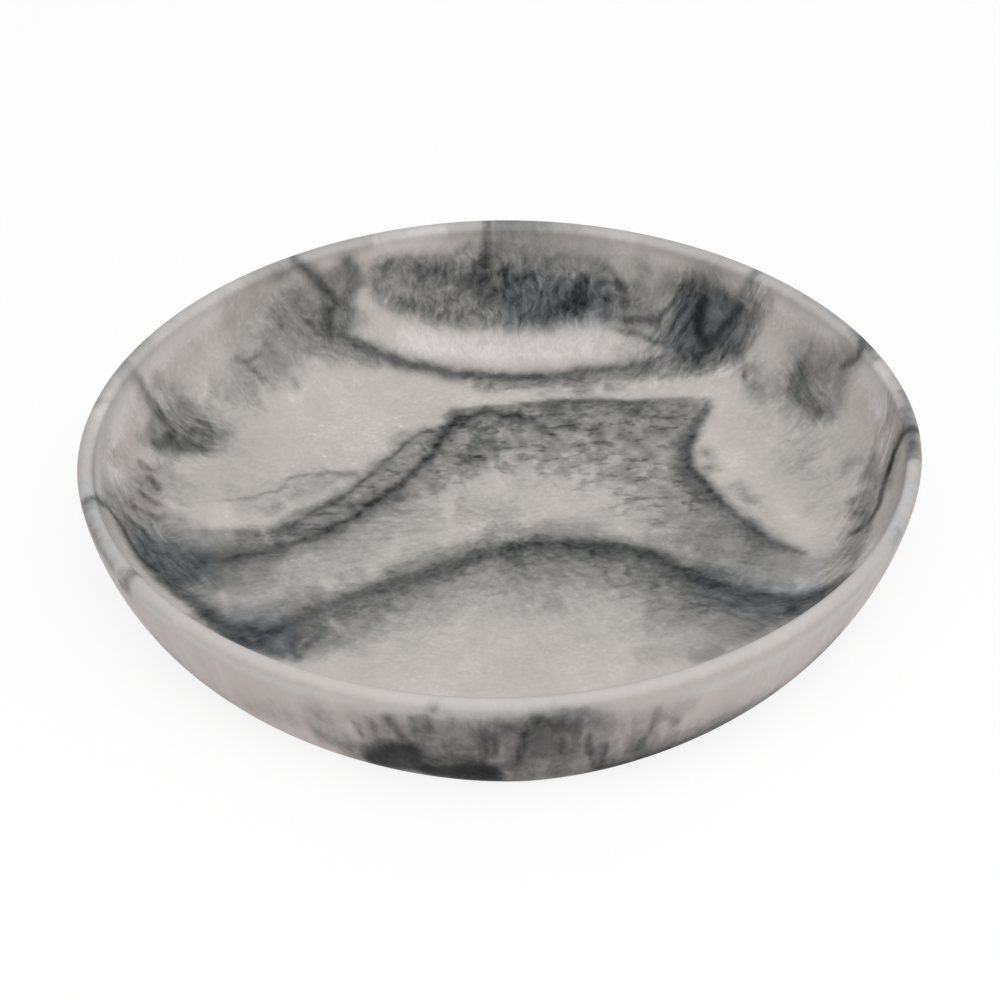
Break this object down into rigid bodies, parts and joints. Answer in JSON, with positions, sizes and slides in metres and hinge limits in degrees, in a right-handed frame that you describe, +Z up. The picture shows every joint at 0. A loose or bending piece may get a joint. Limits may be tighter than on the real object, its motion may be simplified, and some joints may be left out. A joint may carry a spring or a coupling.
{
  "type": "oval serving tray",
  "caption": "Shallow oval bowl-shaped serving tray cast in grey and beige marbled resin, with a round lip, a dished floor and a flat foot.",
  "frame": {"origin": "centre of the foot's underside, on the surface that the tray stands on", "axes": "+Z up through the open side, +X along the long axis, +Y along the short axis"},
  "size_m": [0.3, 0.258, 0.05],
  "materials": {
    "marbled_resin": "satin"
  },
  "bodies": {
    "root": {"tray_body": "marbled_resin"}
  },
  "joints": []
}
